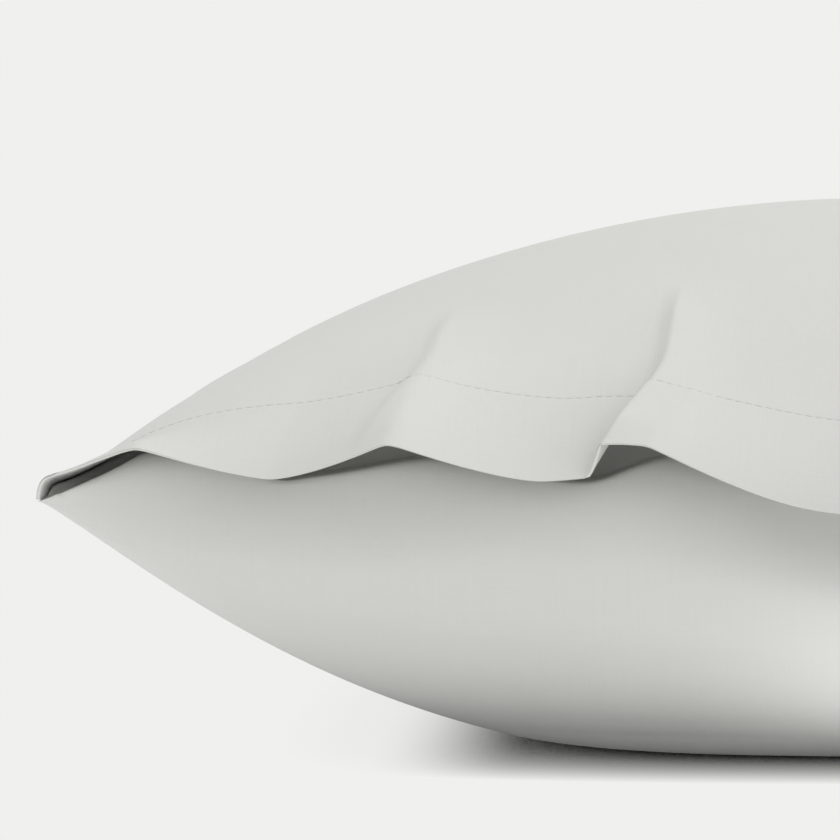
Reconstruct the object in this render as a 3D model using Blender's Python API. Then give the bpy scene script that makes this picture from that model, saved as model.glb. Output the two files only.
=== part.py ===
"""A cotton pillowcase on its pillow, lying on its back panel with the mouth towards -Y.

Metres, +Z up. The origin is under the middle of the case, on the surface it lies on.
Two pieces: the back panel with the filling that it holds, as one filled solid whose
front end is the tuck-in flap, and the front panel, a sheet that runs over the crown
from seam to seam and ends at the mouth in a wavy hem.

Places on the case are given by across (-1 at the left seam, 1 at the right one) and
along (-1 at the mouth, 1 at the far end).
"""

import bmesh
import bpy
import numpy as np

# ---- The filled case: a 0.50 x 0.75 m case, drawn in by its filling ----------
HALF_WIDTH = 0.243
HALF_LENGTH = 0.365
SIDE_DRAW_IN = 0.008          # how far the side seams curve in at mid length
END_DRAW_IN = 0.010           # and the two ends at mid width
CORNER_HEIGHT = 0.0864        # seams above the surface: at the four corners,
SIDE_SEAM_HEIGHT = 0.079      # at mid length of the sides,
END_SEAM_HEIGHT = 0.072       # and at mid width of the ends
MIDDLE_RISE = 0.002           # of the level between the seams, at the middle
CROWN_HEIGHT = 0.161
RIM_RADIUS = 0.0033           # half the height of the rounded edge along the seams
RIM_TURN = 120                # the higher, the tighter that edge turns
SEAM_ROUND = 3                # how the seams' heights ease from corner to middle

# ---- Crown and belly: the exponents of their arches --------------------------
CROWN_ACROSS = {"middle": (1.93, 0.65), "ends": (7.0, 1.5)}
CROWN_END_SPAN = 4.6          # the higher, the nearer the ends that arch turns
CROWN_ALONG_POWER = 3.0
CROWN_ALONG_ROUND = 0.60      # slanted at the middle of the mouth,
CROWN_ALONG_BLUNT = 0.30      # blunter towards its corners,
CROWN_CORNER_SLANT = 0.35     # and slanted again in the very corners,
CROWN_CORNER_TURN = 20        # the higher, the nearer to them
BELLY_PRESS = 1.21            # over 1, so that the weight flattens the belly
BELLY_ACROSS = (2.62, 1.05)
BELLY_ALONG_POWER = 4.0
BELLY_ALONG_ROUND = 0.50      # at the middle of the mouth,
BELLY_ALONG_BLUNT = 0.25      # and this much blunter at its corners
BELLY_MIDDLE_BLUNT = 0.03     # or at its very middle,
BELLY_MIDDLE_SPAN = 0.40      # which reaches this far to both sides
CONTACT_EASE = 0.004          # height over which the belly eases into its flat spot

# ---- Cloth -------------------------------------------------------------------
THICKNESS = 0.0015
GAP = 0.0003                  # between the two pieces
FLAP_SINK_DEPTH = 0.02        # from this far into the case the top is a full sheet lower

# Height of the hem's edge where it lies on the flap, before its waves.
MOUTH_EDGE = (
    # across x, height
    (-0.243, 0.0897), (-0.215, 0.0917), (-0.176, 0.0896), (-0.095, 0.0893),
    (-0.074, 0.0920), (-0.011, 0.0800), (0.020, 0.0800), (0.062, 0.0860),
    (0.100, 0.0895), (0.150, 0.0890), (0.215, 0.0917), (0.243, 0.0897),
)
MOUTH_EDGE_EASE = 0.008       # half width over which the steps between rows are eased
MOUTH_CORNER_EASE = 0.004     # brings the edge out to the very corners of the mouth
MOUTH_HIGHEST = 0.4           # share of the way up the crown that the edge may reach

# Waves of the front panel: each rises from the free edge and dies out up the cloth.
WAVES = (
    # crest x, flat, left reach, right reach, height, forward, run up the cloth, lean
    (-0.2146, 0.0000, 0.0325, 0.0410, 0.0091, 0.000, 0.030, 0.006),
    (-0.1427, 0.0000, 0.0350, 0.0460, 0.0128, 0.000, 0.110, 0.012),
    (-0.0746, 0.0062, 0.0040, 0.0457, 0.0109, 0.000, 0.080, 0.019),
    (0.0050, 0.0000, 0.0750, 0.0700, 0.0000, 0.010, 0.050, 0.000),
    (0.0640, 0.0000, 0.0550, 0.0300, 0.0120, 0.000, 0.090, -0.014),
    (0.1420, 0.0000, 0.0360, 0.0340, 0.0100, 0.000, 0.085, -0.008),
    (0.2150, 0.0000, 0.0360, 0.0330, 0.0088, 0.000, 0.035, -0.006),
)
WAVE_UPWARD = 0.5             # a wave rises between straight out and straight up
WAVE_TIP = 0.06               # rounds the crest of a wave
WAVE_SLOPE = 1.5              # above 1, the sides sag towards the troughs
WAVE_FADE = 2.0               # how fast a wave dies out up the cloth
RIDGE_BEND = (
    # up the cloth, share of its lean that a ridge has made by there
    (-0.012, -0.29), (0.012, 0.29), (0.028, 0.60), (0.041, 0.84), (0.055, 0.95), (0.140, 1.08),
)
RIDGE_EASE = 0.006            # half width over which its bends are eased

# The flap goes up behind the hem, turns over a fold and runs back into the case. The
# fold shows in the open corners of the mouth, which are small tubes, and in the waves.
FLAP_FOLD = (
    # across x, height
    (-0.2430, 0.0829), (-0.2400, 0.0843), (-0.2230, 0.0921), (-0.2143, 0.0979), (-0.1900, 0.0950),
    (-0.1740, 0.0885), (-0.1550, 0.0912), (-0.1415, 0.0938), (-0.1294, 0.0955), (-0.1050, 0.0920),
    (-0.0900, 0.0883), (-0.0815, 0.0885), (-0.0688, 0.0935), (-0.0602, 0.0958), (-0.0110, 0.0880),
    (0.0200, 0.0870), (0.0640, 0.0915), (0.1000, 0.0905), (0.1420, 0.0935), (0.1800, 0.0900),
    (0.2143, 0.0965), (0.2287, 0.0893), (0.2430, 0.0829),
)
FLAP_FOLD_EASE = 0.003        # half width over which the steps between rows are eased
FLAP_SHELF = (0.006, 0.026)   # how far the flap runs level, in the corners and elsewhere,
FLAP_SHELF_TURN = 20          # the higher, the nearer to the corners it shortens,
FLAP_CLIMB = 1.2              # before the filling climbs to the crown
FOLD_RADIUS = 0.0018
TUBE_SWELL = 0.0011           # more than RIM_RADIUS, in the mouth's corners
TUBE_DEPTH = 0.025            # from the mouth to where a corner's tube closes
FLAP_RECESS = 0.009           # how far the flap draws back under the hem,
FLAP_RECESS_REACH = 0.028     # from this far below the hem's edge upwards
FLAP_RECESS_DEPTH = 0.05      # and how far into the case that goes
FLAP_RECESS_SPREAD = (6, 1)   # it fades out towards the mouth's corners
NOSE_FLAT = 0.004             # blunts the end that bulges out of the mouth,
NOSE_SPREAD = (12, 1)         # but for its corners

# ---- Where the meshes' columns and rows lie ----------------------------------
# Both pieces share them, so that their facets stay parallel.
# crowd 2 draws the stations towards the start of a span, -2 towards its end.
COLUMNS = (
    # from, to, steps, crowd
    (-1.00, -0.97, 4, 2), (-0.97, -0.85, 6, 1), (-0.85, -0.42, 14, 1), (-0.42, -0.37, 2, 1),
    (-0.37, -0.28, 9, 1), (-0.28, 0.85, 21, 1), (0.85, 0.97, 4, 1), (0.97, 1.00, 4, -2),
)
PANEL_ROWS = ((0.00, 0.16, 11, 1.4), (0.16, 0.88, 9, 1), (0.88, 1.00, 6, -2))
FLAP_ROWS = ((-1.00, 0.00, 8, 1.4),)
TINY = 1e-5                   # step for reading a surface's slope


def stations(spans):
    """Return the stations of a table of spans as one array."""
    found = [spans[0][0]]
    for start, end, steps, crowd in spans:
        share = np.arange(1, steps + 1) / steps
        drawn = share**crowd if crowd > 0 else 1 - (1 - share)**-crowd
        found.extend(start + (end - start) * drawn)
    return np.array(found)


def arch(place, shape):
    """Return 1 at the middle of place, falling to 0 at -1 and 1."""
    power, roundness = shape
    return np.clip(1 - np.abs(place)**power, 0, 1)**roundness


def smooth_step(value):
    value = np.clip(value, 0, 1)
    return value * value * (3 - 2 * value)


def eased(table, ease, place):
    """Return what a table gives at a place, with the steps between its rows eased."""
    places, values = np.array(table).T
    shifts = ease * np.array([-1, -0.5, 0, 0.5, 1])
    return np.mean([np.interp(place + shift, places, values) for shift in shifts], axis=0)


def plan(across, along):
    """Return x and y of the case's outline, drawn in between its corners."""
    x = across * (HALF_WIDTH - SIDE_DRAW_IN * (1 - along**2))
    y = along * (HALF_LENGTH - END_DRAW_IN * (1 - across**2))
    return x, y


def seam_level(across, along):
    """Return the height of the level that the seams lie on."""
    off_side = arch(across, (SEAM_ROUND, 1))
    off_end = arch(along, (SEAM_ROUND, 1))
    level = CORNER_HEIGHT - (CORNER_HEIGHT - SIDE_SEAM_HEIGHT) * off_end
    level = level - (CORNER_HEIGHT - END_SEAM_HEIGHT) * off_side
    return level + MIDDLE_RISE * off_side * off_end


def crown_across(across, along):
    """Return the crown's arch from seam to seam."""
    (mid_power, mid_round), (end_power, end_round) = CROWN_ACROSS.values()
    endness = np.abs(along)**CROWN_END_SPAN
    power = mid_power + (end_power - mid_power) * endness
    roundness = mid_round + (end_round - mid_round) * endness
    return np.clip(1 - np.abs(across)**power, 0, 1)**roundness


def crown_round(across):
    """Return how slanted the crown's ends are, from seam to seam."""
    side = np.abs(across)
    blunt = CROWN_ALONG_BLUNT * side**SEAM_ROUND
    return CROWN_ALONG_ROUND - blunt + CROWN_CORNER_SLANT * side**CROWN_CORNER_TURN


def crown_along(across, along):
    """Return the crown's arch from end to end, blunter towards the sides."""
    return arch(along, (CROWN_ALONG_POWER, crown_round(across)))


def rim(place):
    return np.sqrt(arch(place, (RIM_TURN, 1)))


def rim_radius(along):
    """Return the radius of the edge along the seams, larger in the mouth's corners."""
    depth = (along + 1) * HALF_LENGTH
    return RIM_RADIUS + TUBE_SWELL * (1 - smooth_step(depth / TUBE_DEPTH))


def crown(across, along, open_mouth=True):
    """Return points of the upper cloth; with an open mouth its rim stays up there."""
    x, y = plan(across, along)
    end_rim = np.where(open_mouth & (along < 0), 1, rim(along))
    low = seam_level(across, along) + rim_radius(along) * rim(across) * end_rim
    z = low + (CROWN_HEIGHT - low) * crown_across(across, along) * crown_along(across, along)
    return np.stack([x, y, z], -1)


def hem_height(across):
    """Return the height of the hem's edge at rest."""
    return eased(MOUTH_EDGE, MOUTH_EDGE_EASE, across * HALF_WIDTH)


def recessed(points, across, along):
    """Draw the points near the mouth back: blunt there, and sunk in under the hem."""
    depth = (along + 1) * HALF_LENGTH
    below = (hem_height(across) - points[..., 2]) / FLAP_RECESS_REACH
    sunk = FLAP_RECESS * smooth_step(1 - below) * (1 - smooth_step(depth / FLAP_RECESS_DEPTH))
    blunt = np.hypot(depth, NOSE_FLAT) - depth
    points[..., 1] += sunk * arch(across, FLAP_RECESS_SPREAD) + blunt * arch(across, NOSE_SPREAD)
    return points


def fold_height(across):
    """Return the height of the flap's fold."""
    return eased(FLAP_FOLD, FLAP_FOLD_EASE, across * HALF_WIDTH)


def tube_drop(across, along):
    """Return how far the cloth sinks below the seams' level in the mouth's corners."""
    sunk = np.clip(seam_level(across, -1) - fold_height(across), 0, RIM_RADIUS + TUBE_SWELL)
    depth = (along + 1) * HALF_LENGTH
    return sunk * (1 - smooth_step(depth / TUBE_DEPTH))


def belly(across, along):
    """Return points of the lower cloth, flat on the surface under the weight."""
    x, y = plan(across, along)
    rounding = rim(across) * rim(along)
    low = seam_level(across, along) - GAP - RIM_RADIUS * rounding
    low = low - tube_drop(across, along) * (1 - rounding)
    roundness = BELLY_ALONG_ROUND - BELLY_ALONG_BLUNT * across**2
    roundness = roundness - BELLY_MIDDLE_BLUNT * arch(across / BELLY_MIDDLE_SPAN, (2, 1))
    drop = BELLY_PRESS * arch(across, BELLY_ACROSS) * arch(along, (BELLY_ALONG_POWER, roundness))
    height = low * (1 - drop)
    easing = (height + CONTACT_EASE)**2 / (4 * CONTACT_EASE)
    z = np.where(height > CONTACT_EASE, height, np.where(height < -CONTACT_EASE, 0, easing))
    return recessed(np.stack([x, y, z], -1), across, along)


def outward(surface, across, along):
    """Return the unit normals of surface, level where it turns over at a seam."""
    side = np.clip(across, -1 + TINY, 1 - TINY)
    end = np.clip(along, -1 + TINY, 1 - TINY)
    over = surface(side + TINY, end) - surface(side - TINY, end)
    up = surface(side, end + TINY) - surface(side, end - TINY)
    normal = np.cross(over, up)
    at_side = np.abs(across) > 1 - TINY
    at_end = along > 1 - TINY
    level = np.stack([np.sign(across) * np.abs(across)**RIM_TURN,
                      np.clip(along, 0, 1)**RIM_TURN, np.zeros_like(across)], -1)
    normal = np.where((at_side | at_end)[..., None], level, normal)
    return normal / np.linalg.norm(normal, axis=-1, keepdims=True)


def mouth_station(across):
    """Return where along the case the hem's edge lies at rest on the flap."""
    low = seam_level(across, -1) + rim_radius(-1)
    rise = (CROWN_HEIGHT - low) * crown_across(across, -1) + MOUTH_CORNER_EASE
    share = np.clip((hem_height(across) - low) / rise, 0, MOUTH_HIGHEST)
    return -(1 - share**(1 / crown_round(across)))**(1 / CROWN_ALONG_POWER)


def wave_profile(distance, flat, left, right):
    """Return 1 along a wave's flat crest, falling to 0 at its two reaches."""
    off_crest = np.maximum(np.abs(distance) - flat, 0)
    share = off_crest / np.where(distance < 0, left, right)
    rounded = np.hypot(share, WAVE_TIP) - WAVE_TIP
    rounded = rounded / (np.hypot(1, WAVE_TIP) - WAVE_TIP)
    return np.clip(1 - rounded, 0, 1)**WAVE_SLOPE


def front_cloth(across, along):
    """Return points of the front panel's outer side, waves and all."""
    rest = crown(across, along)
    edge = crown(across, mouth_station(across))
    up_cloth = np.linalg.norm(rest - edge, axis=-1)
    lift = np.zeros_like(up_cloth)
    forward = np.zeros_like(up_cloth)
    for crest, flat, left, right, height, out, run, lean in WAVES:
        ridge = crest + lean * eased(RIDGE_BEND, RIDGE_EASE, up_cloth)
        profile = wave_profile(rest[..., 0] - ridge, flat, left, right)
        profile = profile * np.clip(1 - up_cloth / run, 0, 1)**WAVE_FADE
        lift = lift + height * profile
        forward = forward + out * profile
    rising = (1 - WAVE_UPWARD) * outward(crown, across, along) + WAVE_UPWARD * np.array([0, 0, 1])
    rising = rising / np.linalg.norm(rising, axis=-1, keepdims=True)
    raised = rest + lift[..., None] * rising
    raised[..., 1] -= forward
    raised[..., 2] -= tube_drop(across, along) * (1 - rim(across))
    return raised


def soft_minimum(first, second, radius):
    """Return the lower of two heights, rounded where they cross."""
    return (first + second - np.hypot(first - second, radius)) / 2


def filled_top(across, along):
    """Return the top of the filled back panel, which lies under the front panel."""
    def closed_crown(side, end):
        return crown(side, end, open_mouth=False)

    depth = (along + 1) * HALF_LENGTH
    sink = (THICKNESS + GAP) * smooth_step(depth / FLAP_SINK_DEPTH)
    surface = closed_crown(across, along) - sink[..., None] * outward(closed_crown, across, along)
    seam = seam_level(across, along) - GAP
    shelf = FLAP_SHELF[0] + FLAP_SHELF[1] * arch(across, (FLAP_SHELF_TURN, 1))
    climb = FLAP_CLIMB * np.maximum(depth - shelf, 0) * rim(across)**2
    fold = fold_height(across) - GAP + climb
    tucked = soft_minimum(surface[..., 2], fold, FOLD_RADIUS)
    lowest = seam - tube_drop(across, along)
    on_seam = (np.abs(across) == 1) | (np.abs(along) == 1)
    surface[..., 2] = np.where(on_seam, lowest, np.maximum(tucked, lowest))
    return recessed(surface, across, along)


def case_grid(rows):
    """Return across and along for each column and row; row 0 is the hem's edge."""
    across, share = np.meshgrid(stations(COLUMNS), stations(rows), indexing="ij")
    mouth = mouth_station(across)
    along = np.where(share < 0, mouth + (1 + mouth) * share, mouth + (1 - mouth) * share)
    return across, along


def grid_faces(index, flip=False):
    """Return the triangles between the rows of a grid of vertex numbers."""
    faces = []
    for column in range(index.shape[0] - 1):
        for row in range(index.shape[1] - 1):
            near, far = index[column:column + 2, row:row + 2]
            pair = [[near[0], far[0], far[1]], [near[0], far[1], near[1]]]
            faces.extend([face[::-1] for face in pair] if flip else pair)
    return faces


def strip_faces(upper, lower):
    """Return faces between two edges, as triangles where the edges share a corner."""
    faces = []
    for step in range(len(upper) - 1):
        loop = [upper[step], upper[step + 1], lower[step + 1], lower[step]]
        faces.append(list(dict.fromkeys(loop)))
    return faces


def closed_object(name, points, faces, color, roughness):
    """Make one object from points and faces, with its normals turned outward."""
    mesh = bpy.data.meshes.new(name)
    mesh.from_pydata(points.tolist(), [], faces)
    work = bmesh.new()
    work.from_mesh(mesh)
    bmesh.ops.recalc_face_normals(work, faces=work.faces)
    work.to_mesh(mesh)
    work.free()
    mesh.shade_smooth()
    material = bpy.data.materials.new(name)
    material.use_nodes = True
    shader = material.node_tree.nodes["Principled BSDF"]
    shader.inputs["Base Color"].default_value = (*color, 1)
    shader.inputs["Roughness"].default_value = roughness
    shader.inputs["Metallic"].default_value = 0
    mesh.materials.append(material)
    item = bpy.data.objects.new(name, mesh)
    bpy.context.scene.collection.objects.link(item)
    return item


def make_back_panel():
    """Make the filled solid: its top under the front panel, its belly and flap in one."""
    across, along = case_grid(FLAP_ROWS + PANEL_ROWS)
    top, bottom = filled_top(across, along), belly(across, along)
    columns, rows = across.shape
    top_index = np.arange(columns * rows).reshape(columns, rows)
    bottom_index = top_index + columns * rows
    bottom_index[:, 0] = top_index[:, 0]
    faces = grid_faces(top_index) + grid_faces(bottom_index, flip=True)
    faces += strip_faces(top_index[0], bottom_index[0])
    faces += strip_faces(bottom_index[-1], top_index[-1])
    faces += strip_faces(top_index[:, -1], bottom_index[:, -1])
    points = np.concatenate([top.reshape(-1, 3), bottom.reshape(-1, 3)])
    return closed_object("back_panel", points, faces, (0.58, 0.59, 0.56), 0.8)


def make_front_panel():
    """Make the sheet over the crown, from its wavy hem to the far seam."""
    across, along = case_grid(PANEL_ROWS)
    outer = front_cloth(across, along)
    inner = outer - THICKNESS * outward(front_cloth, across, along)
    lowest = seam_level(across, along) - tube_drop(across, along)
    within = rim(across) * rim(along) > 0
    inner[..., 2] = np.maximum(inner[..., 2], lowest + GAP * within)
    columns, rows = across.shape
    outer_index = np.arange(columns * rows).reshape(columns, rows)
    inner_index = outer_index + columns * rows
    faces = grid_faces(outer_index) + grid_faces(inner_index, flip=True)
    for edge in ((0, slice(None)), (-1, slice(None)), (slice(None), 0), (slice(None), -1)):
        faces += strip_faces(outer_index[edge], inner_index[edge])
    points = np.concatenate([outer.reshape(-1, 3), inner.reshape(-1, 3)])
    return closed_object("front_panel", points, faces, (0.62, 0.63, 0.60), 0.8)


def remove_unused_points(item):
    """Delete the points that no face uses, such as a second copy of the flap's end."""
    work = bmesh.new()
    work.from_mesh(item.data)
    loose = [vert for vert in work.verts if not vert.link_faces]
    bmesh.ops.delete(work, geom=loose, context="VERTS")
    work.to_mesh(item.data)
    work.free()


for old in list(bpy.data.objects):
    bpy.data.objects.remove(old)
for piece in (make_back_panel(), make_front_panel()):
    remove_unused_points(piece)
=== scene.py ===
"""A light grey cotton pillowcase on its pillow, seen from its open end.

Metres, +Z up. Places on the case are given by across (-1 at the left seam, 1 at the
right one) and along (-1 at the mouth, 1 at the far end).
"""

import math

import bpy
import numpy as np
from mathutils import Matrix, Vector


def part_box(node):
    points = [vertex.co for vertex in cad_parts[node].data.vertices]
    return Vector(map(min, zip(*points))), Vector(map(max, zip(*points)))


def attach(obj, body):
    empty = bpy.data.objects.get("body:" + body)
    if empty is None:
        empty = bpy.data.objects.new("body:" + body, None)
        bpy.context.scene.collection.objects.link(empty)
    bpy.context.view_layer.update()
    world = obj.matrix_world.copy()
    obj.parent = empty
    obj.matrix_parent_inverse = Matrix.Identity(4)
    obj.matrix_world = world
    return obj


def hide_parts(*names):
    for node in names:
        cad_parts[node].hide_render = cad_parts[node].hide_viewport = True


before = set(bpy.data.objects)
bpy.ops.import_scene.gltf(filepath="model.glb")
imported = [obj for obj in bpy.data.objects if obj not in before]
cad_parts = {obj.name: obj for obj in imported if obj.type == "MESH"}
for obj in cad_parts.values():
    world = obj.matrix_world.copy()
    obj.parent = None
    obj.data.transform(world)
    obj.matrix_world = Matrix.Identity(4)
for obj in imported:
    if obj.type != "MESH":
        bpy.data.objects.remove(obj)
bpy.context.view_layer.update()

# ---- The back cloth on its filling --------------------------------------------
# The lower half of the case: one cut of cotton percale that lies on the surface,
# bulges out at the open end and turns in over the pillow there, as the tuck-in flap.
# The pillow fills it out, so cloth and filling are one padded piece.

HALF_WIDTH, HALF_LENGTH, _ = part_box("back_panel")[1]
CROWN_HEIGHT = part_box("front_panel")[1][2]
SIDE_DRAW_IN = 0.008          # how far the side seams curve in at mid length
END_DRAW_IN = 0.010           # and the two ends at mid width
CORNER_HEIGHT = 0.0864        # seams above the surface: at the four corners,
SIDE_SEAM_HEIGHT = 0.079      # at mid length of the sides,
END_SEAM_HEIGHT = 0.072       # and at mid width of the ends
MIDDLE_RISE = 0.002           # of the level between the seams, at the middle
RIM_RADIUS = 0.0033           # half the height of the rounded edge along the seams
RIM_TURN = 120                # the higher, the tighter that edge turns
SEAM_ROUND = 3                # how the seams' heights ease from corner to middle
# Arches from seam to seam and from end to end have a power and a roundness: a higher
# power makes them fuller, and a lower roundness makes their ends blunter.
CROWN_ACROSS = {"middle": (1.93, 0.65), "ends": (7.0, 1.5)}
CROWN_END_SPAN = 4.6          # the higher, the nearer the ends that arch turns
CROWN_ALONG_POWER = 3.0
CROWN_ALONG_ROUND = 0.60      # at the middle of the mouth,
CROWN_ALONG_BLUNT = 0.30      # blunter towards its corners,
CROWN_CORNER_SLANT = 0.35     # and slanted again in the very corners,
CROWN_CORNER_TURN = 20        # the higher, the nearer to them
BELLY_PRESS = 1.21            # over 1, so that the weight flattens the belly
BELLY_ACROSS = (2.62, 1.05)
BELLY_ALONG_POWER = 4.0
BELLY_ALONG_ROUND = 0.50      # near the middle of the mouth,
BELLY_ALONG_BLUNT = 0.25      # and this much blunter at its corners
BELLY_MIDDLE_BLUNT = 0.03     # or at its very middle,
BELLY_MIDDLE_SPAN = 0.40      # which reaches this far to both sides,
BELLY_MIDDLE_SPREAD = (2, 1)  # fading out that way
CONTACT_EASE = 0.004          # height over which the belly eases into its flat spot
TINY = 1e-5                   # step for reading a surface's slope


def arch(place, shape):
    """Return 1 at the middle of place, falling to 0 at -1 and 1."""
    power, roundness = shape
    return np.clip(1 - np.abs(place)**power, 0, 1)**roundness


def smooth_step(value):
    """Return an eased rise from 0 at 0 to 1 at 1, level on both sides of it."""
    value = np.clip(value, 0, 1)
    return value * value * (3 - 2 * value)


def plan(across, along):
    """Return x and y of the case's outline, drawn in between its corners."""
    x = across * (HALF_WIDTH - SIDE_DRAW_IN * (1 - along**2))
    y = along * (HALF_LENGTH - END_DRAW_IN * (1 - across**2))
    return x, y


def seam_level(across, along):
    """Return the height of the level that the seams lie on."""
    off_side = arch(across, (SEAM_ROUND, 1))
    off_end = arch(along, (SEAM_ROUND, 1))
    level = CORNER_HEIGHT - (CORNER_HEIGHT - SIDE_SEAM_HEIGHT) * off_end
    level = level - (CORNER_HEIGHT - END_SEAM_HEIGHT) * off_side
    return level + MIDDLE_RISE * off_side * off_end


def crown_across(across, along):
    """Return the crown's arch from seam to seam."""
    mid_power, mid_round = CROWN_ACROSS["middle"]
    end_power, end_round = CROWN_ACROSS["ends"]
    endness = np.abs(along)**CROWN_END_SPAN
    power = mid_power + (end_power - mid_power) * endness
    roundness = mid_round + (end_round - mid_round) * endness
    return arch(across, (power, roundness))


def crown_along(across, along):
    """Return the crown's arch from end to end, blunter towards the sides."""
    return arch(along, (CROWN_ALONG_POWER, crown_round(across)))


def crown_round(across):
    """Return how slanted the crown's ends are, from seam to seam."""
    side = np.abs(across)
    blunt = CROWN_ALONG_BLUNT * side**SEAM_ROUND
    return CROWN_ALONG_ROUND - blunt + CROWN_CORNER_SLANT * side**CROWN_CORNER_TURN


def rim(place):
    """Return 1, falling to 0 in a tight round turn at -1 and 1."""
    return np.sqrt(arch(place, (RIM_TURN, 1)))


def rim_radius(along):
    """Return the radius of the edge along the seams, larger in the mouth's corners."""
    depth = (along + 1) * HALF_LENGTH
    return RIM_RADIUS + TUBE_SWELL * (1 - smooth_step(depth / TUBE_DEPTH))


def crown(across, along, open_mouth=True):
    """Return points of the upper cloth; with an open mouth its rim stays up there."""
    x, y = plan(across, along)
    end_rim = np.where(open_mouth & (along < 0), 1, rim(along))
    low = seam_level(across, along) + rim_radius(along) * rim(across) * end_rim
    z = low + (CROWN_HEIGHT - low) * crown_across(across, along) * crown_along(across, along)
    return np.stack([x, y, z], -1)


# The flap goes up behind the hem, turns over a fold and runs back into the case. The
# fold shows in the open corners of the mouth, which are small tubes, and in the waves.
FLAP_FOLD = (
    # across x, height
    (-0.2430, 0.0829), (-0.2400, 0.0843), (-0.2230, 0.0921), (-0.2143, 0.0979), (-0.1900, 0.0950),
    (-0.1740, 0.0885), (-0.1550, 0.0912), (-0.1415, 0.0938), (-0.1294, 0.0955), (-0.1050, 0.0920),
    (-0.0900, 0.0883), (-0.0815, 0.0885), (-0.0688, 0.0935), (-0.0602, 0.0958), (-0.0110, 0.0880),
    (0.0200, 0.0870), (0.0640, 0.0915), (0.1000, 0.0905), (0.1420, 0.0935), (0.1800, 0.0900),
    (0.2143, 0.0965), (0.2287, 0.0893), (0.2430, 0.0829),
)
FLAP_FOLD_EASE = 0.003        # half width over which the steps between rows are eased
FLAP_SHELF = 0.006            # how far the flap runs level in the mouth's corners,
FLAP_SHELF_MORE = 0.026       # and how much further elsewhere,
FLAP_SHELF_TURN = 20          # the higher, the nearer to the corners that changes
FLAP_CLIMB = 1.2              # slope of the filling from there up to the crown
FOLD_RADIUS = 0.0018
TUBE_SWELL = 0.0011           # more than RIM_RADIUS, in the mouth's corners
TUBE_DEPTH = 0.025            # from the mouth to where a corner's tube closes
FLAP_RECESS = 0.009           # how far the flap draws back under the hem,
FLAP_RECESS_REACH = 0.028     # from this far below the hem's edge upwards
FLAP_RECESS_DEPTH = 0.05      # and how far into the case that goes
FLAP_RECESS_SPREAD = (6, 1)   # it fades out towards the mouth's corners
NOSE_FLAT = 0.004             # blunts the end that bulges out of the mouth,
NOSE_SPREAD = (12, 1)         # but for its corners
GAP = 0.0003                  # between the back cloth and the front one


def eased(table, ease, place):
    """Return what a table gives at a place, with the steps between its rows eased."""
    places, values = np.array(table).T
    shifts = ease * np.array([-1, -0.5, 0, 0.5, 1])
    return np.mean([np.interp(place + shift, places, values) for shift in shifts], axis=0)


def recessed(points, across, along):
    """Draw the points near the mouth back: blunt there, and sunk in under the hem."""
    depth = (along + 1) * HALF_LENGTH
    below = (hem_height(across) - points[..., 2]) / FLAP_RECESS_REACH
    sunk = FLAP_RECESS * smooth_step(1 - below) * (1 - smooth_step(depth / FLAP_RECESS_DEPTH))
    blunt = np.hypot(depth, NOSE_FLAT) - depth
    points[..., 1] += sunk * arch(across, FLAP_RECESS_SPREAD) + blunt * arch(across, NOSE_SPREAD)
    return points


def fold_height(across):
    """Return the height of the flap's fold."""
    return eased(FLAP_FOLD, FLAP_FOLD_EASE, across * HALF_WIDTH)


def tube_drop(across, along):
    """Return how far the cloth sinks below the seams' level in the mouth's corners."""
    sunk = np.clip(seam_level(across, -1) - fold_height(across), 0, RIM_RADIUS + TUBE_SWELL)
    depth = (along + 1) * HALF_LENGTH
    return sunk * (1 - smooth_step(depth / TUBE_DEPTH))


def belly(across, along):
    """Return points of the lower cloth, flat on the surface under the weight."""
    x, y = plan(across, along)
    rounding = rim(across) * rim(along)
    low = seam_level(across, along) - GAP - RIM_RADIUS * rounding
    low = low - tube_drop(across, along) * (1 - rounding)
    roundness = BELLY_ALONG_ROUND - BELLY_ALONG_BLUNT * across**2
    roundness = roundness - BELLY_MIDDLE_BLUNT * arch(across / BELLY_MIDDLE_SPAN, BELLY_MIDDLE_SPREAD)
    drop = BELLY_PRESS * arch(across, BELLY_ACROSS) * arch(along, (BELLY_ALONG_POWER, roundness))
    height = low * (1 - drop)
    easing = (height + CONTACT_EASE)**2 / (4 * CONTACT_EASE)
    z = np.where(height > CONTACT_EASE, height, np.where(height < -CONTACT_EASE, 0, easing))
    return recessed(np.stack([x, y, z], -1), across, along)


def outward(surface, across, along):
    """Return the unit normals of surface, level where it turns over at a seam."""
    side = np.clip(across, -1 + TINY, 1 - TINY)
    end = np.clip(along, -1 + TINY, 1 - TINY)
    over = surface(side + TINY, end) - surface(side - TINY, end)
    up = surface(side, end + TINY) - surface(side, end - TINY)
    normal = np.cross(over, up)
    at_side = np.abs(across) > 1 - TINY
    at_end = along > 1 - TINY
    level = np.stack([np.sign(across) * np.abs(across)**RIM_TURN,
                      np.clip(along, 0, 1)**RIM_TURN, np.zeros_like(across)], -1)
    normal = np.where((at_side | at_end)[..., None], level, normal)
    return normal / np.linalg.norm(normal, axis=-1, keepdims=True)


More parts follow.
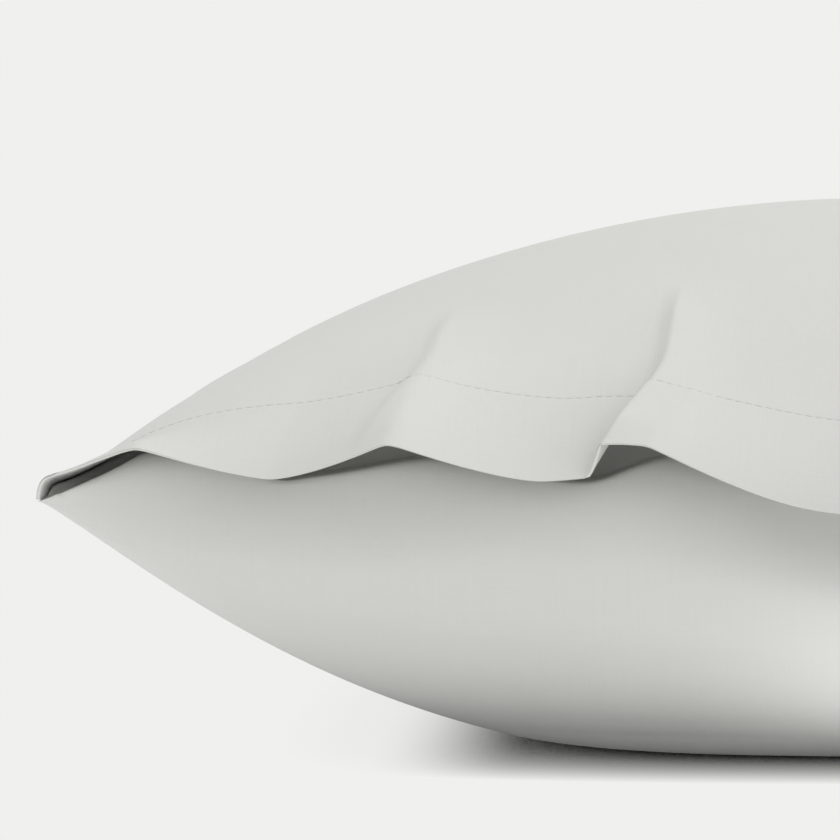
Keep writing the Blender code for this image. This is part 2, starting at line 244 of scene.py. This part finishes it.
# Height of the hem's edge where it lies on the flap, before its waves.
MOUTH_EDGE = (
    # across x, height
    (-0.243, 0.0897), (-0.215, 0.0917), (-0.176, 0.0896), (-0.095, 0.0893),
    (-0.074, 0.0920), (-0.011, 0.0800), (0.020, 0.0800), (0.062, 0.0860),
    (0.100, 0.0895), (0.150, 0.0890), (0.215, 0.0917), (0.243, 0.0897),
)
MOUTH_EDGE_EASE = 0.008       # half width over which the steps between rows are eased
MOUTH_CORNER_EASE = 0.004     # brings the edge out to the very corners of the mouth
MOUTH_HIGHEST = 0.4           # share of the way up the crown that the edge may reach
FLAP_SINK = 0.0012            # how far the flap lies below the front cloth,
FLAP_SINK_DEPTH = 0.02        # from this far into the case


def hem_height(across):
    """Return the height of the hem's edge at rest."""
    return eased(MOUTH_EDGE, MOUTH_EDGE_EASE, across * HALF_WIDTH)


def mouth_station(across):
    """Return where along the case the hem's edge lies at rest on the flap."""
    low = seam_level(across, -1) + rim_radius(-1)
    rise = (CROWN_HEIGHT - low) * crown_across(across, -1) + MOUTH_CORNER_EASE
    share = np.clip((hem_height(across) - low) / rise, 0, MOUTH_HIGHEST)
    return -(1 - share**(1 / crown_round(across)))**(1 / CROWN_ALONG_POWER)


def soft_minimum(first, second, radius):
    """Return the lower of two heights, rounded where they cross."""
    return (first + second - np.hypot(first - second, radius)) / 2


def filled_top(across, along):
    """Return the flap and the top of the filling, which lies under the front cloth."""
    def closed_crown(side, end):
        return crown(side, end, open_mouth=False)

    depth = (along + 1) * HALF_LENGTH
    sink = FLAP_SINK * smooth_step(depth / FLAP_SINK_DEPTH)
    surface = closed_crown(across, along) - sink[..., None] * outward(closed_crown, across, along)
    seam = seam_level(across, along) - GAP
    shelf = FLAP_SHELF + FLAP_SHELF_MORE * arch(across, (FLAP_SHELF_TURN, 1))
    climb = FLAP_CLIMB * np.maximum(depth - shelf, 0) * rim(across)**2
    fold = fold_height(across) - GAP + climb
    tucked = soft_minimum(surface[..., 2], fold, FOLD_RADIUS)
    lowest = seam - tube_drop(across, along)
    on_seam = (np.abs(across) == 1) | (np.abs(along) == 1)
    surface[..., 2] = np.where(on_seam, lowest, np.maximum(tucked, lowest))
    return recessed(surface, across, along)


# Small uneven gathers stand out along the side and end seams, away from the mouth.
GATHERS = (
    # wave length, share, phase at the left, at the right, at the far end
    (0.047, 0.45, 0.10, 0.62, 0.35), (0.066, 0.30, 0.55, 0.20, 0.80), (0.128, 0.25, 0.85, 0.40, 0.15),
)
GATHER_HEIGHT = 0.0018
GATHER_START = 0.008          # from a seam to where the gathers are at full height,
GATHER_REACH = 0.045          # and to where they are gone
GATHER_MOUTH = (-0.60, -0.30)  # along the case, over which the gathers set in


def gathers(across, along):
    """Return how far the cloth stands out in its gathers."""
    x, y = across * HALF_WIDTH, along * HALF_LENGTH
    to_side, to_end = HALF_WIDTH - np.abs(x), HALF_LENGTH - y
    rise = np.zeros_like(x)
    for length, share, left, right, end in GATHERS:
        for distance, course, phase in ((to_side, y, np.where(x < 0, left, right)), (to_end, x, end)):
            strength = smooth_step(distance / GATHER_START) * smooth_step(1 - distance / GATHER_REACH)
            rise = rise + share * strength * np.sin(2 * np.pi * (course / length + phase))
    first, last = GATHER_MOUTH
    return GATHER_HEIGHT * np.maximum(rise, 0) * smooth_step((along - first) / (last - first))


# Where the mesh's columns and rows lie. crowd 2 draws the stations towards the start
# of a span, -2 towards its end.
COLUMNS = (
    # from, to, steps, crowd
    (-1.00, -0.97, 14, 2), (-0.97, -0.85, 28, 1), (-0.85, -0.40, 74, 1), (-0.40, -0.20, 64, 1),
    (-0.20, 0.85, 76, 1), (0.85, 0.97, 22, 1), (0.97, 1.00, 12, -2),
)
FLAP_ROWS = ((-1.00, 0.00, 46, 1.3), (0.00, 0.05, 40, 1), (0.05, 0.16, 12, 1), (0.16, 1.00, 12, 1))
BELLY_ROWS = ((-1.00, -0.97, 12, 2), (-0.97, 0.97, 84, 1), (0.97, 1.00, 12, -2))


def stations(spans):
    """Return the stations of a table of spans as one array."""
    found = [spans[0][0]]
    for start, end, steps, crowd in spans:
        share = np.arange(1, steps + 1) / steps
        drawn = share**crowd if crowd > 0 else 1 - (1 - share)**-crowd
        found.extend(start + (end - start) * drawn)
    return np.array(found)


def mouth_grid(rows):
    """Return across and along for each column and row; row 0 is the hem's edge."""
    across, share = np.meshgrid(stations(COLUMNS), stations(rows), indexing="ij")
    mouth = mouth_station(across)
    along = np.where(share < 0, mouth + (1 + mouth) * share, mouth + (1 - mouth) * share)
    return across, along


def grid_faces(index, flip=False):
    """Return the faces between the rows of a grid of vertex numbers."""
    near, far = index[:-1], index[1:]
    corners = [near[:, :-1], far[:, :-1], far[:, 1:], near[:, 1:]]
    quads = np.stack(corners[::-1] if flip else corners, -1).reshape(-1, 4)
    return quads.tolist()


def strip_faces(first, second):
    """Return the faces between two edges of vertex numbers."""
    quads = np.stack([first[:-1], first[1:], second[1:], second[:-1]], -1)
    return [list(dict.fromkeys(quad)) for quad in quads.tolist()]


def length_along(points):
    """Return how far each point of a line, or of a grid's columns, lies from its first one."""
    steps = np.linalg.norm(np.diff(points, axis=-2), axis=-1)
    return np.concatenate([np.zeros_like(steps[..., :1]), np.cumsum(steps, axis=-1)], axis=-1)


def on_the_flat(across, up_cloth):
    """Return where on the flat cloth the points of a grid lie."""
    return np.stack([across * HALF_WIDTH, up_cloth, 0 * across], -1).reshape(-1, 3)


def cloth_object(name, points, faces, threads, material):
    """Make one object whose points know their place on the flat cloth."""
    mesh = bpy.data.meshes.new(name)
    mesh.from_pydata(points.tolist(), [], faces)
    place = mesh.attributes.new("threads", "FLOAT_VECTOR", "POINT")
    place.data.foreach_set("vector", threads.astype(np.float32).ravel())
    mesh.validate()
    mesh.shade_smooth()
    mesh.materials.append(material)
    item = bpy.data.objects.new(name, mesh)
    bpy.context.scene.collection.objects.link(item)
    return item


class Socket:
    """A shader node's output, so that shader maths reads as plain expressions."""

    def __init__(self, tree, output=None):
        self.tree = tree
        self.output = output

    def node(self, kind, settings, inputs, output=0):
        """Add a node, set its settings and then its inputs, and return one output."""
        made = self.tree.nodes.new("ShaderNode" + kind)
        for name, value in settings.items():
            setattr(made, name, value)
        for key, value in inputs.items():
            if isinstance(value, Socket):
                self.tree.links.new(value.output, made.inputs[key])
            else:
                made.inputs[key].default_value = value
        return Socket(self.tree, made.outputs[output])

    def maths(self, operation, first, second):
        return self.node("Math", {"operation": operation}, {0: first, 1: second})

    def __add__(self, other):
        return self.maths("ADD", self, other)

    def __sub__(self, other):
        return self.maths("SUBTRACT", self, other)

    def __mul__(self, other):
        return self.maths("MULTIPLY", self, other)

    def __rsub__(self, other):
        return self.maths("SUBTRACT", other, self)

    __radd__ = __add__
    __rmul__ = __mul__


COTTON = (0.60, 0.605, 0.585)     # light grey, a little warm
THREAD_PITCH = 0.0003             # from one thread of the weave to the next
THREAD_STRETCH = 60               # the higher, the shorter a thread's thick stretches
SLUB_SCALE = 0.5                  # noise cells to a thread's width
MOTTLE_SCALE = 28                 # and of the mottling, to a metre
SLUB_TONE = 0.03                  # how much the threads' unevenness,
MOTTLE_TONE = 0.035               # the mottling
WEAVE_TONE = 0.015                # and the weave change the colour
WEAVE_RELIEF = 0.5                # height of the weave,
SLUB_RELIEF = 0.8                 # and of uneven threads, in units of
RELIEF_DEPTH = 0.0001             # this
RELIEF_STRENGTH = 0.35
ROUGHNESS = 0.78
ROUGHNESS_SPREAD = 0.2
SPECULAR_LEVEL = 0.2
SHEEN = 0.15
SHEEN_ROUGHNESS = 0.6


def cotton(name):
    """Return matt cotton percale: its plain weave, uneven threads and faint mottling."""
    material = bpy.data.materials.new(name)
    material.use_nodes = True
    tree = material.node_tree
    shader = tree.nodes["Principled BSDF"]
    shader.inputs["Specular IOR Level"].default_value = SPECULAR_LEVEL
    shader.inputs["Sheen Weight"].default_value = SHEEN
    shader.inputs["Sheen Roughness"].default_value = SHEEN_ROUGHNESS
    threads = Socket(tree).node("Attribute", {"attribute_name": "threads"}, {}, "Vector")
    slubs = []
    for stretch in ((1 / THREAD_PITCH, THREAD_STRETCH, 1), (THREAD_STRETCH, 1 / THREAD_PITCH, 1)):
        stretched = threads.node("VectorMath", {"operation": "MULTIPLY"}, {0: threads, 1: stretch})
        slubs.append(threads.node("TexNoise", {}, {"Vector": stretched, "Scale": SLUB_SCALE,
                                                   "Detail": 1}))
    across = threads.node("SeparateXYZ", {}, {0: threads}, "X")
    along = threads.node("SeparateXYZ", {}, {0: threads}, "Y")
    turn = 2 * math.pi / THREAD_PITCH
    weave = threads.maths("SINE", across * turn, 0) * threads.maths("SINE", along * turn, 0)
    mottle = threads.node("TexNoise", {}, {"Vector": threads, "Scale": MOTTLE_SCALE, "Detail": 3})
    # Each noise is about 0.5 on average.
    tone = 1 + (slubs[0] + slubs[1] - 1) * SLUB_TONE + (mottle - 0.5) * MOTTLE_TONE + weave * WEAVE_TONE
    base = threads.node("VectorMath", {"operation": "SCALE"}, {0: COTTON, "Scale": tone})
    tree.links.new(base.output, shader.inputs["Base Color"])
    rough = ROUGHNESS + (mottle - 0.5) * ROUGHNESS_SPREAD
    tree.links.new(rough.output, shader.inputs["Roughness"])
    relief = weave * WEAVE_RELIEF + (slubs[0] + slubs[1]) * SLUB_RELIEF
    bump = threads.node("Bump", {}, {"Strength": RELIEF_STRENGTH, "Distance": RELIEF_DEPTH,
                                     "Height": relief})
    tree.links.new(bump.output, shader.inputs["Normal"])
    return material


def back_piece():
    """Make the filled back cloth: its flap and top, and its belly."""
    across, along = mouth_grid(FLAP_ROWS)
    top = filled_top(across, along)
    low_across, low_along = np.meshgrid(stations(COLUMNS), stations(BELLY_ROWS), indexing="ij")
    rise = gathers(low_across, low_along)[..., None]
    bottom = belly(low_across, low_along) - rise * outward(belly, low_across, low_along)
    top_index = np.arange(across.size).reshape(across.shape)
    bottom_index = np.arange(low_across.size).reshape(low_across.shape) + across.size
    bottom_index[:, 0] = top_index[:, 0]
    faces = grid_faces(top_index) + grid_faces(bottom_index, flip=True)
    faces += strip_faces(top_index[:, -1], bottom_index[:, -1])
    for column in (0, -1):
        faces.append(list(top_index[column]) + list(bottom_index[column][::-1]))
    points = np.concatenate([top.reshape(-1, 3), bottom.reshape(-1, 3)])
    upper = on_the_flat(across, length_along(top))
    lower = on_the_flat(low_across, -length_along(bottom))
    threads = np.concatenate([upper, lower])
    return cloth_object("back_cloth", points, faces, threads, cotton("back cotton"))


back = back_piece()
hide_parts("back_panel")
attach(back, "root")

# ---- The front cloth ----------------------------------------------------------
# The upper half: one cut of the same percale over the crown, sewn to the back cloth
# down both sides and across the far end. Its free end is a turned hem of two layers,
# which rides up in uneven waves over the flap.

WAVES = (
    # crest x, flat, left reach, right reach, height, forward, run up the cloth, lean
    (-0.2146, 0.0000, 0.0325, 0.0410, 0.0091, 0.000, 0.030, 0.006),
    (-0.1427, 0.0000, 0.0350, 0.0460, 0.0128, 0.000, 0.110, 0.012),
    (-0.0746, 0.0062, 0.0040, 0.0457, 0.0109, 0.000, 0.080, 0.019),
    (0.0050, 0.0000, 0.0750, 0.0700, 0.0000, 0.010, 0.050, 0.000),
    (0.0640, 0.0000, 0.0550, 0.0300, 0.0120, 0.000, 0.090, -0.014),
    (0.1420, 0.0000, 0.0360, 0.0340, 0.0100, 0.000, 0.085, -0.008),
    (0.2150, 0.0000, 0.0360, 0.0330, 0.0088, 0.000, 0.035, -0.006),
)
WAVE_UPWARD = 0.5             # a wave rises between straight out and straight up
WAVE_TIP = 0.06               # rounds the crest of a wave
WAVE_SLOPE = 1.5              # above 1, the sides sag towards the troughs
WAVE_FADE = 2.0               # how fast a wave dies out up the cloth
RIDGE_BEND = (
    # up the cloth, share of its lean that a ridge has made by there
    (-0.012, -0.29), (0.012, 0.29), (0.028, 0.60), (0.041, 0.84), (0.055, 0.95), (0.140, 1.08),
)
RIDGE_EASE = 0.006            # half width over which its bends are eased
HEM_DEPTH = 0.0355
HEM_STEP = 0.0012             # over which the inner layer of the hem ends
HEM_THICKNESS = 0.0009        # two layers, turned
CLOTH_THICKNESS = 0.0005      # and one
HEM_SEARCH = 0.16             # share of the case's length that surely holds the hem
HEM_SEARCH_STEPS = 400
HEM_ROUND = 0.0006            # up the cloth, to where its turned edge is at full thickness
HEM_LEAST = 1e-5              # keeps the two sides of that edge apart
STITCH_DEPTH = 0.0345         # from the hem's edge to its row of stitches
GROOVE_DEPTH = 0.00008        # that row draws the cloth in
GROOVE_WIDTH = 0.0008
STITCH_STEP = 0.0030          # from one stitch to the next
STITCH_LENGTH = 0.0024
STITCH_RADIUS = 0.00011
STITCH_RISE = 0.00006         # of its middle over its ends
STITCH_RINGS = np.linspace(-0.98, 0.98, 7)    # from a stitch's middle to its ends at -1 and 1
STITCH_SIDES = 6
SEAM_ALLOWANCE = 0.004        # the row of stitches ends this far from the side seams
HEM_ROWS = (
    # from, to up the cloth, steps, crowd
    (0.000, HEM_ROUND, 6, 2), (HEM_ROUND, 0.033, 30, 1), (0.033, 0.036, 14, 1), (0.036, 0.070, 18, 1),
)
PANEL_ROWS = ((0.00, 0.12, 16, 1), (0.12, 0.88, 60, 1), (0.88, 1.00, 14, -2))


def wave_profile(distance, flat, left, right):
    """Return 1 along a wave's flat crest, falling to 0 at its two reaches."""
    off_crest = np.maximum(np.abs(distance) - flat, 0)
    share = off_crest / np.where(distance < 0, left, right)
    rounded = np.hypot(share, WAVE_TIP) - WAVE_TIP
    rounded = rounded / (np.hypot(1, WAVE_TIP) - WAVE_TIP)
    return np.clip(1 - rounded, 0, 1)**WAVE_SLOPE


def front_cloth(across, along):
    """Return points of the front cloth's outer side, waves and all."""
    rest = crown(across, along)
    edge = crown(across, mouth_station(across))
    up_cloth = np.linalg.norm(rest - edge, axis=-1)
    lift = np.zeros_like(up_cloth)
    forward = np.zeros_like(up_cloth)
    for crest, flat, left, right, height, out, run, lean in WAVES:
        ridge = crest + lean * eased(RIDGE_BEND, RIDGE_EASE, up_cloth)
        profile = wave_profile(rest[..., 0] - ridge, flat, left, right)
        profile = profile * np.clip(1 - up_cloth / run, 0, 1)**WAVE_FADE
        lift = lift + height * profile
        forward = forward + out * profile
    rising = (1 - WAVE_UPWARD) * outward(crown, across, along) + WAVE_UPWARD * np.array([0, 0, 1])
    rising = rising / np.linalg.norm(rising, axis=-1, keepdims=True)
    raised = rest + lift[..., None] * rising
    raised[..., 1] -= forward
    raised[..., 2] -= tube_drop(across, along) * (1 - rim(across))
    return raised


# Sharp creases that run up the cloth from the waves, steep on their left.
CREASES = (
    # crest x at the hem, height, left reach, right reach, run up the cloth, lean
    (-0.1530, 0.0018, 0.0040, 0.022, 0.135, 0.0210),
    (-0.0808, 0.0026, 0.0050, 0.020, 0.130, 0.0190),
)
CREASE_FADE = 0.050           # up the cloth, over which a crease fades at its far end
CREASE_START = 0.012          # and over which it starts at the hem


def creased(points, across, along, up_cloth):
    """Raise the points along the creases."""
    rise = np.zeros_like(up_cloth)
    for crest, height, left, right, run, lean in CREASES:
        distance = across * HALF_WIDTH - crest - lean * eased(RIDGE_BEND, RIDGE_EASE, up_cloth)
        strength = smooth_step(up_cloth / CREASE_START) * smooth_step((run - up_cloth) / CREASE_FADE)
        rise = rise + height * strength * wave_profile(distance, 0, left, right)
    return points + rise[..., None] * outward(crown, across, along)


def front_grid():
    """Return across and along, and how far up the unwaved cloth each of the hem's rows is."""
    sides = stations(COLUMNS)[:, None]
    mouth = mouth_station(sides)
    trial = mouth + (1 - mouth) * np.linspace(0, HEM_SEARCH, HEM_SEARCH_STEPS)
    climbed = length_along(crown(sides + 0 * trial, trial))
    rows = stations(HEM_ROWS)
    hem = np.array([np.interp(rows, *column) for column in zip(climbed, trial)])
    panel = hem[:, -1:] + (1 - hem[:, -1:]) * stations(PANEL_ROWS)[1:]
    along = np.concatenate([hem, panel], axis=1)
    rest_up = np.concatenate([rows, np.full(panel.shape[1], np.inf)])
    return sides + 0 * along, along, rest_up


def front_piece():
    """Make the front cloth with its inner side, a thin closed sheet."""
    across, along, rest_up = front_grid()
    outer = front_cloth(across, along)
    up_cloth = length_along(outer)
    outer = creased(outer, across, along, up_cloth)
    outer = outer + gathers(across, along)[..., None] * outward(crown, across, along)
    groove = GROOVE_DEPTH * np.exp(-((rest_up - STITCH_DEPTH) / GROOVE_WIDTH)**2)
    outer = outer - groove[..., None] * outward(front_cloth, across, along)
    doubled = 1 - smooth_step((rest_up - HEM_DEPTH) / HEM_STEP)
    thickness = CLOTH_THICKNESS + (HEM_THICKNESS - CLOTH_THICKNESS) * doubled
    thickness = thickness * np.sqrt(1 - np.clip(1 - up_cloth / HEM_ROUND, 0, 1)**2 + HEM_LEAST)
    inner = outer - thickness[..., None] * outward(front_cloth, across, along)
    outer_index = np.arange(across.size).reshape(across.shape)
    inner_index = outer_index + across.size
    faces = grid_faces(outer_index) + grid_faces(inner_index, flip=True)
    for edge in (np.s_[0, :], np.s_[-1, :], np.s_[:, 0], np.s_[:, -1]):
        faces += strip_faces(outer_index[edge], inner_index[edge])
    points = np.concatenate([outer.reshape(-1, 3), inner.reshape(-1, 3)])
    threads = np.tile(on_the_flat(across, up_cloth), (2, 1))
    return cloth_object("front_cloth", points, faces, threads, cotton("front cotton"))


def hem_stitches():
    """Make the hem's row of stitches, each a short bead of thread drawn into the cloth."""
    across, along, rest_up = front_grid()
    row = int(np.argmin(np.abs(rest_up - STITCH_DEPTH)))
    across, along = across[:, row:row + 1], along[:, row:row + 1]
    line = front_cloth(across, along)
    up_cloth = np.full(across.shape, STITCH_DEPTH)
    line = creased(line, across, along, up_cloth)[:, 0]
    normal = outward(front_cloth, across, along)[:, 0]
    line = line - GROOVE_DEPTH * normal
    run = length_along(line)
    centres = np.arange(SEAM_ALLOWANCE, run[-1] - SEAM_ALLOWANCE, STITCH_STEP)
    places = centres[:, None] + STITCH_LENGTH / 2 * STITCH_RINGS
    middle = np.stack([np.interp(places, run, line[:, axis]) for axis in range(3)], -1)
    out = np.stack([np.interp(places, run, normal[:, axis]) for axis in range(3)], -1)
    course = np.gradient(middle, axis=1)
    side = np.cross(course, out)
    side = side / np.linalg.norm(side, axis=-1, keepdims=True)
    swell = np.sqrt(1 - STITCH_RINGS**2)[None, :, None]
    middle = middle + out * STITCH_RISE * swell
    turns = 2 * np.pi * np.arange(STITCH_SIDES) / STITCH_SIDES
    ring = [np.cos(turn) * side + np.sin(turn) * out for turn in turns]
    points = middle[:, :, None] + STITCH_RADIUS * swell[:, :, None] * np.stack(ring, 2)
    index = np.arange(points.size // 3).reshape(points.shape[:3])
    faces = []
    for stitch in index:
        around = np.concatenate([stitch, stitch[:, :1]], axis=1)
        faces += grid_faces(around)
        faces += [stitch[0].tolist()[::-1], stitch[-1].tolist()]
    points = points.reshape(-1, 3)
    return cloth_object("hem_stitches", points, faces, points, cotton("thread"))


front = front_piece()
stitches = hem_stitches()
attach(stitches, "root")
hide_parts("front_panel")
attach(front, "root")

# ---- Floor, light and camera --------------------------------------------------
# A pale floor that glows evenly on into the background, with a painted contact shadow under the case,
# even light from all round, painted light glowing up off the floor, a large bright wall on the right,
# and a soft lamp above it.
# The camera looks at the mouth from just above the level of the seams.

BACKGROUND = (0.871, 0.871, 0.855)
RIGHT_WALL = 0.91             # more light from the right than from elsewhere
FLOOR_SIZE = 60               # a single triangle, so that no inner edge shows
FLOOR_SHADOW = 0.028          # from the case to the end of its painted contact shadow
FLOOR_SHADOW_POWER = 0.6
FLOOR_NEAR_LIGHT = 0.60       # painted light that the floor glows up past that shadow,
FLOOR_WIDE_LIGHT = 0.64       # and what it adds to that
FLOOR_WIDE_SHADOW = 0.060     # past a wider one, which ends this far from the case
SHADOW_SAMPLES = 16           # rays a point for the painted contact shadow,
WIDE_SHADOW_SAMPLES = 8       # and for the wider one
FLOOR_RIGHT_LIGHT = 1.05      # more painted light glowing up under the belly, towards the bright wall:
FLOOR_RIGHT_SPAN = (-0.055, 0.020)    # from x to x it grows to that,
FLOOR_RIGHT_START = (-0.275, -0.315)  # from y to y too,
FLOOR_RIGHT_END = (-0.37, -0.46)      # and fades out again in front
FLOOR_SHADOW_SPAN = (-0.155, -0.106)  # from x to x the painted contact shadow sets in,
FLOOR_SHADOW_LEAST = 0.12             # and this much of it lies left of that

scene = bpy.context.scene
scene.view_settings.view_transform = "Standard"
world = bpy.data.worlds.new("studio")
world.use_nodes = True
world_tree = world.node_tree
backdrop = world_tree.nodes["Background"]
seen = Socket(world_tree).node("LightPath", {}, {}, "Is Camera Ray")
direction = seen.node("TexCoord", {}, {}, "Generated")
rightward = seen.node("SeparateXYZ", {}, {0: direction}, "X")
rightward = rightward.maths("MAXIMUM", rightward, 0)
brightness = 1 + rightward * rightward * (1 - seen) * RIGHT_WALL
world_tree.links.new(brightness.output, backdrop.inputs["Strength"])
backdrop.inputs["Color"].default_value = (*BACKGROUND, 1)
scene.world = world

floor_mesh = bpy.data.meshes.new("floor")
floor_mesh.from_pydata([(-FLOOR_SIZE, -FLOOR_SIZE, 0), (FLOOR_SIZE, -FLOOR_SIZE, 0),
                        (0, 2 * FLOOR_SIZE, 0)], [], [(0, 1, 2)])
floor_material = bpy.data.materials.new("floor")
floor_material.use_nodes = True
floor_tree = floor_material.node_tree
floor_shader = floor_tree.nodes["Principled BSDF"]
floor_shader.inputs["Base Color"].default_value = (0, 0, 0, 1)
floor_shader.inputs["Roughness"].default_value = 1
floor_shader.inputs["Specular IOR Level"].default_value = 0
seen = Socket(floor_tree).node("LightPath", {}, {}, "Is Camera Ray")
near = seen.node("AmbientOcclusion", {"samples": SHADOW_SAMPLES}, {"Distance": FLOOR_SHADOW}, "AO")
near = near.maths("POWER", near, FLOOR_SHADOW_POWER)
wide = seen.node("AmbientOcclusion", {"samples": WIDE_SHADOW_SAMPLES},
                 {"Distance": FLOOR_WIDE_SHADOW}, "AO")
place = seen.node("NewGeometry", {}, {}, "Position")


def growing(axis, start, end):
    """Return a value that grows along an axis from 0 at start to 1 at end."""
    along_axis = seen.node("SeparateXYZ", {}, {0: place}, axis)
    return seen.node("MapRange", {"interpolation_type": "SMOOTHSTEP"},
                     {"Value": along_axis, "From Min": start, "From Max": end})


# A painted pool of light on the floor glows up onto the belly's right side; the camera does not see it.
painted_light_right = growing("X", *FLOOR_RIGHT_SPAN) * growing("Y", *FLOOR_RIGHT_START)
painted_light_right = painted_light_right * (1 - growing("Y", *FLOOR_RIGHT_END)) * FLOOR_RIGHT_LIGHT
lit = near * near * (FLOOR_NEAR_LIGHT + painted_light_right) + wide * wide * FLOOR_WIDE_LIGHT
painted_shadow_share = growing("X", *FLOOR_SHADOW_SPAN) * (1 - FLOOR_SHADOW_LEAST) + FLOOR_SHADOW_LEAST
# The camera sees the background colour with a painted contact shadow from ambient occlusion; other rays
# see the floor's painted glow.
shown = seen * (1 - (1 - near) * painted_shadow_share) + (1 - seen) * lit
glow = seen.node("VectorMath", {"operation": "SCALE"}, {0: BACKGROUND, "Scale": shown})
floor_tree.links.new(glow.output, floor_shader.inputs["Emission Color"])
floor_shader.inputs["Emission Strength"].default_value = 1
floor_mesh.materials.append(floor_material)
floor = bpy.data.objects.new("floor", floor_mesh)
scene.collection.objects.link(floor)

LAMP_POWER = 0.574
LAMP_ANGLE = math.radians(28)
LAMP_PLACE = Vector((0.98, 0.17, 1.73))     # towards it, from the case

sun = bpy.data.lights.new("soft lamp", "SUN")
sun.energy = LAMP_POWER
sun.angle = LAMP_ANGLE
lamp = bpy.data.objects.new("soft lamp", sun)
lamp.rotation_euler = LAMP_PLACE.to_track_quat("Z", "Y").to_euler()
scene.collection.objects.link(lamp)

VIEW_ELEVATION = math.radians(3.09)
VIEW_DISTANCE = 2.2
VIEW_TARGET = Vector((-0.1323, -0.36, 0.1068))
PIXELS_PER_METRE = 3465       # at the mouth, in the photograph's 840 pixel frame
FRAME_PIXELS = 840

camera_data = bpy.data.cameras.new("camera")
camera_data.lens = camera_data.sensor_width * PIXELS_PER_METRE * VIEW_DISTANCE / FRAME_PIXELS
camera = bpy.data.objects.new("camera", camera_data)
back_off = Vector((0, -math.cos(VIEW_ELEVATION), math.sin(VIEW_ELEVATION))) * VIEW_DISTANCE
camera.location = Vector((0, VIEW_TARGET.y, VIEW_TARGET.z)) + back_off
camera.rotation_euler = (VIEW_TARGET - camera.location).to_track_quat("-Z", "Y").to_euler()
scene.collection.objects.link(camera)
scene.camera = camera
